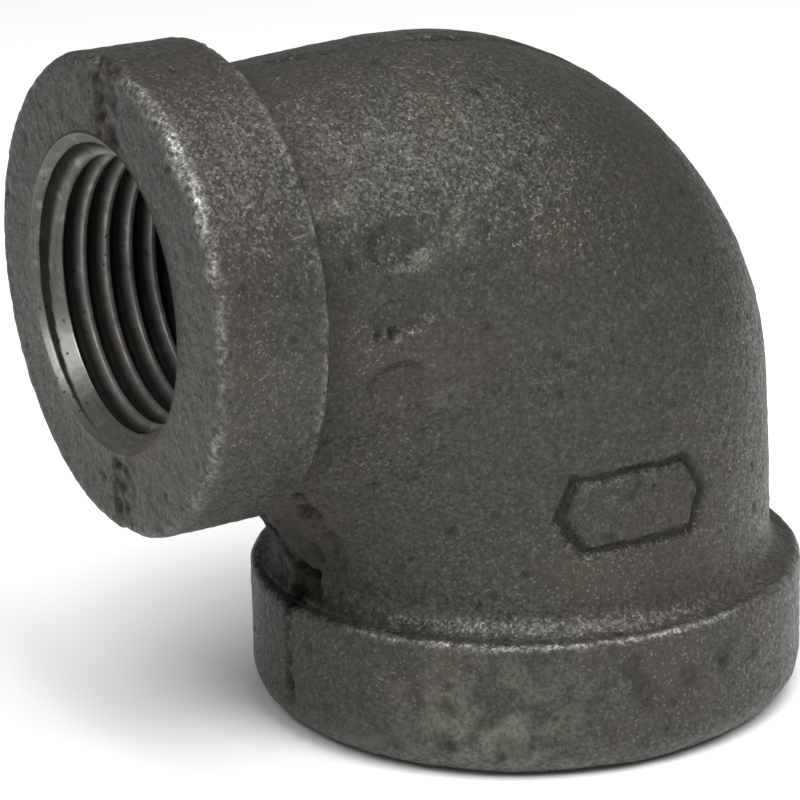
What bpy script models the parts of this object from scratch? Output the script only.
"""A 3/4 x 1/2 inch reducing pipe elbow in grey cast iron, with real tapered pipe threads.

The elbow is one casting: two arms at a right angle, a heavy band round each mouth, a cored
passage that bends through the body, and a tapped thread behind a chamfer in each mouth.
The small arm points to -X and the large arm to -Z. The large mouth's face lies on z = 0,
y = 0 is the plane of both axes, and the origin is under the middle of the bounding box.
"""

import math

import bmesh
import bpy
import numpy as np

INCH = 0.0254
SEGMENTS = 48

# Where the two axes cross, measured from each mouth's face.
SMALL_CENTER_TO_END = 0.0338
LARGE_CENTER_TO_END = 0.0357
BEND_RADIUS = 0.01175

# Radii at the small and the large end of the body's outside and of the cored passage. The change
# from one to the other follows the angle seen from a line this far beyond the shoulders. It lies
# between these shares of the quarter turn, and this part of it starts and ends gently.
BODY_RADII = (0.0144, 0.0184)
PASSAGE_RADII = (0.0114, 0.0143)
GROWTH_VIEW = 0.010
GROWTH_SHARES = (0.109, 0.79)
GROWTH_EASE = 0.6

# In the crotch a wide web fills the corner nearly up to both bands. The core is only rounded there.
BODY_WEB = 0.0155
PASSAGE_WEB = 0.0035
SHOULDER_FILLET = 0.0010

# Bands: outer radius, width along the axis, rounding at the mouth and at the shoulder.
SMALL_BAND = {"radius": 1.34 * INCH / 2, "width": 0.0083, "mouth_round": 0.0009, "shoulder_round": 0.0005}
LARGE_BAND = {"radius": 1.63 * INCH / 2, "width": 0.0106, "mouth_round": 0.0028, "shoulder_round": 0.0007}
ROUND_STEPS = 3

# Tapered pipe threads: pitch radius and chamfer radius at the mouth, length, and the sense of the
# angle in which a right-handed thread runs inwards there.
PITCH = INCH / 14
TAPER = 1 / 32
THREAD_DEPTH = 0.8 * PITCH
CREST_FLAT = 0.22 * PITCH
ROOT_FLAT = 0.08 * PITCH
SMALL_THREAD = {"pitch_radius": 0.77843 * INCH / 2, "chamfer_radius": 0.0113, "length": 0.0115, "sense": 1}
LARGE_THREAD = {"pitch_radius": 0.98887 * INCH / 2, "chamfer_radius": 0.0140, "length": 0.0132, "sense": -1}

FAN_STEPS = 16
HALVINGS = 40
BLEND_FLOOR = 0.01
SMALL_SHOULDER_X = SMALL_BAND["width"] - SMALL_CENTER_TO_END
LARGE_SHOULDER_Z = LARGE_BAND["width"] - LARGE_CENTER_TO_END
LARGE_AXIS_X = (SMALL_CENTER_TO_END - LARGE_BAND["radius"]) / 2


def clear_scene():
    for item in list(bpy.data.objects):
        bpy.data.objects.remove(item, do_unlink=True)


def circle_angles():
    return np.arange(SEGMENTS) * 2 * math.pi / SEGMENTS


def small_mouth_point(depth, radius, angle):
    """A point of the small arm: how far behind its face, how far from its axis, and the angle round it."""
    return (depth - SMALL_CENTER_TO_END, -radius * np.sin(angle), radius * np.cos(angle))


def large_mouth_point(depth, radius, angle):
    """The same for the large arm, with the angle measured so that both arms' angles meet in the bend."""
    return (radius * np.cos(angle), -radius * np.sin(angle), depth - LARGE_CENTER_TO_END)


def turned_ring(mouth_point, depth, radius):
    """A ring round an arm's axis, with one radius or with one for each angle."""
    radii = np.broadcast_to(radius, SEGMENTS)
    return [mouth_point(depth, *place) for place in zip(radii, circle_angles())]


def smooth_union(a, b, blend):
    """The lower of two distances, rounded off where they are closer than the blend."""
    mix = np.clip(0.5 + 0.5 * (b - a) / blend, 0, 1)
    return b + (a - b) * mix - blend * mix * (1 - mix)


def growing_radius(x, z, radii):
    """The radius where a point lies: it grows smoothly with the angle seen from beyond the crotch."""
    view_x, view_z = SMALL_SHOULDER_X - GROWTH_VIEW, LARGE_SHOULDER_Z - GROWTH_VIEW
    share = np.arctan2(x - view_x, z - view_z) / (math.pi / 2)
    low, high = GROWTH_SHARES
    growth = np.clip((share - low) / (high - low), 0, 1)
    eased = growth**2 * (3 - 2 * growth)
    return radii[0] + (radii[1] - radii[0]) * (growth + GROWTH_EASE * (eased - growth))


def wall_distance(point, radii, web):
    """Signed distance to the wall of a bent tube round the two axes and the arc that joins them.

    The web rounds off the corner between the arms. It fades out towards the tube's sides, where
    the two walls run into each other flatly.
    """
    x, y, z = point
    small_axis = np.hypot(np.hypot(np.maximum(x + BEND_RADIUS, 0), z), y)
    large_axis = np.hypot(np.hypot(np.maximum(z + BEND_RADIUS, 0), x), y)
    turn = np.clip(np.arctan2(x + BEND_RADIUS, z + BEND_RADIUS), 0, math.pi / 2)
    arc_x, arc_z = BEND_RADIUS * (np.sin(turn) - 1), BEND_RADIUS * (np.cos(turn) - 1)
    arc = np.hypot(np.hypot(x - arc_x, z - arc_z), y)
    blend = web * np.maximum(1 - y**2 / (small_axis * large_axis), BLEND_FLOOR)
    axis = np.minimum(smooth_union(small_axis, large_axis, blend), arc)
    return axis - growing_radius(x, z, radii)


def bent_rings(small_depth, large_depth, radii, web):
    """Rings of a bent tube's wall, in planes that fan out from a line beyond the crotch.

    With them come the wall's radii round the small and the large axis, in the first and last plane.
    """
    pivot_x = small_depth - SMALL_CENTER_TO_END
    pivot_z = large_depth - LARGE_CENTER_TO_END
    angle = circle_angles()
    rings, ring_radii = [], []
    for step in range(FAN_STEPS + 1):
        turn = math.pi / 2 * step / FAN_STEPS
        share = step / FAN_STEPS
        reach = -pivot_z * (1 - share) - pivot_x * share + BEND_RADIUS / 3 * math.sin(2 * turn)
        near, far = np.zeros(SEGMENTS), np.full(SEGMENTS, LARGE_CENTER_TO_END)
        for _ in range(HALVINGS):
            radius = (near + far) / 2
            out = reach + radius * np.cos(angle)
            across = -radius * np.sin(angle)
            point = (pivot_x + out * math.sin(turn), across, pivot_z + out * math.cos(turn))
            inside = wall_distance(point, radii, web) < 0
            near, far = np.where(inside, radius, near), np.where(inside, far, radius)
        rings.append(list(zip(*point)))
        ring_radii.append(radius)
    return rings, ring_radii[0], ring_radii[-1]


def band_rings(mouth_point, band, wall_radii):
    """A band's outside, from the edge of its face to the fillet where it meets the body's wall."""
    radius, mouth_round, shoulder_round = band["radius"], band["mouth_round"], band["shoulder_round"]
    rings = []
    for step in range(ROUND_STEPS + 1):
        turn = math.pi / 2 * step / ROUND_STEPS
        depth = mouth_round * (1 - math.cos(turn))
        rings.append(turned_ring(mouth_point, depth, radius - mouth_round * (1 - math.sin(turn))))
    for step in range(ROUND_STEPS + 1):
        turn = math.pi / 2 * step / ROUND_STEPS
        depth = band["width"] - shoulder_round * (1 - math.sin(turn))
        rings.append(turned_ring(mouth_point, depth, radius - shoulder_round * (1 - math.cos(turn))))
    for step in range(ROUND_STEPS):
        turn = math.pi / 2 * step / ROUND_STEPS
        depth = band["width"] + SHOULDER_FILLET * (1 - math.cos(turn))
        reach = np.minimum(wall_radii + SHOULDER_FILLET * (1 - math.sin(turn)), radius - shoulder_round)
        rings.append(turned_ring(mouth_point, depth, reach))
    return rings


def thread_corners():
    """One turn of the thread's section: place along the axis and height over the pitch line."""
    flank = (PITCH - CREST_FLAT - ROOT_FLAT) / 2
    low, high = -THREAD_DEPTH / 2, THREAD_DEPTH / 2
    return [(0, low), (CREST_FLAT, low), (CREST_FLAT + flank, high), (CREST_FLAT + flank + ROOT_FLAT, high)]


def chamfer_depth(thread):
    return thread["chamfer_radius"] - thread["pitch_radius"] - THREAD_DEPTH / 2


def thread_sheet(mouth_point, thread):
    """The tapped thread as columns of points, one column for each angle, the last one a turn on."""
    start, end = chamfer_depth(thread), thread["length"]
    start_radius = thread["chamfer_radius"] - start
    end_radius = thread["pitch_radius"] + THREAD_DEPTH / 2 - TAPER * end
    turns = math.ceil((end - start) / PITCH) + 1
    columns = []
    for segment in range(SEGMENTS + 1):
        angle = thread["sense"] * 2 * math.pi * segment / SEGMENTS
        column = []
        for turn in range(-1, turns):
            for place, height in thread_corners():
                depth = start + PITCH * (turn + segment / SEGMENTS) + place
                radius = thread["pitch_radius"] + height - TAPER * depth
                if depth <= start:
                    depth, radius = start, start_radius
                if depth >= end:
                    depth, radius = end, end_radius
                column.append(mouth_point(depth, radius, angle))
        columns.append(column)
    return columns


def add_sheet(mesh, columns):
    """Faces between neighbouring columns of points."""
    made = [[mesh.verts.new(point) for point in column] for column in columns]
    for left, right in zip(made, made[1:]):
        for i in range(len(left) - 1):
            mesh.faces.new((left[i], left[i + 1], right[i + 1], right[i]))


def add_rings(mesh, rings):
    """A tube of faces through closed rings of points."""
    add_sheet(mesh, [ring + ring[:1] for ring in rings])


def casting_mesh():
    """The whole skin: outside from mouth to mouth, both faces, chamfers and threads, and the passage."""
    mesh = bmesh.new()
    body_start, body_end = SMALL_BAND["width"] + SHOULDER_FILLET, LARGE_BAND["width"] + SHOULDER_FILLET
    body, small_wall, large_wall = bent_rings(body_start, body_end, BODY_RADII, BODY_WEB)
    small_outside = band_rings(small_mouth_point, SMALL_BAND, small_wall)
    large_outside = band_rings(large_mouth_point, LARGE_BAND, large_wall)
    passage, _, _ = bent_rings(SMALL_THREAD["length"], LARGE_THREAD["length"], PASSAGE_RADII, PASSAGE_WEB)
    mouths = []
    for mouth_point, thread in ((small_mouth_point, SMALL_THREAD), (large_mouth_point, LARGE_THREAD)):
        add_sheet(mesh, thread_sheet(mouth_point, thread))
        start, end = chamfer_depth(thread), thread["length"]
        chamfer = [
            turned_ring(mouth_point, 0, thread["chamfer_radius"]),
            turned_ring(mouth_point, start, thread["chamfer_radius"] - start),
        ]
        add_rings(mesh, chamfer)
        end_radius = thread["pitch_radius"] + THREAD_DEPTH / 2 - TAPER * end
        mouths.append((chamfer[0], turned_ring(mouth_point, end, end_radius)))
    (small_face, small_end), (large_face, large_end) = mouths
    add_rings(mesh, [small_face, *small_outside, *body, *large_outside[::-1], large_face])
    add_rings(mesh, [small_end, *passage, large_end])
    bmesh.ops.remove_doubles(mesh, verts=mesh.verts, dist=1e-6)
    bmesh.ops.recalc_face_normals(mesh, faces=mesh.faces)
    bmesh.ops.translate(mesh, verts=mesh.verts, vec=(LARGE_AXIS_X, 0, LARGE_CENTER_TO_END))
    return mesh


def cast_iron():
    material = bpy.data.materials.new("cast_iron")
    material.use_nodes = True
    shader = material.node_tree.nodes["Principled BSDF"]
    shader.inputs["Base Color"].default_value = (0.075, 0.070, 0.063, 1)
    shader.inputs["Roughness"].default_value = 0.62
    shader.inputs["Metallic"].default_value = 0.55
    return material


def elbow_casting():
    mesh = casting_mesh()
    data = bpy.data.meshes.new("elbow_casting")
    mesh.to_mesh(data)
    mesh.free()
    data.shade_smooth()
    data.set_sharp_from_angle(angle=math.radians(28))
    data.materials.append(cast_iron())
    casting = bpy.data.objects.new("elbow_casting", data)
    bpy.context.scene.collection.objects.link(casting)


clear_scene()
elbow_casting()
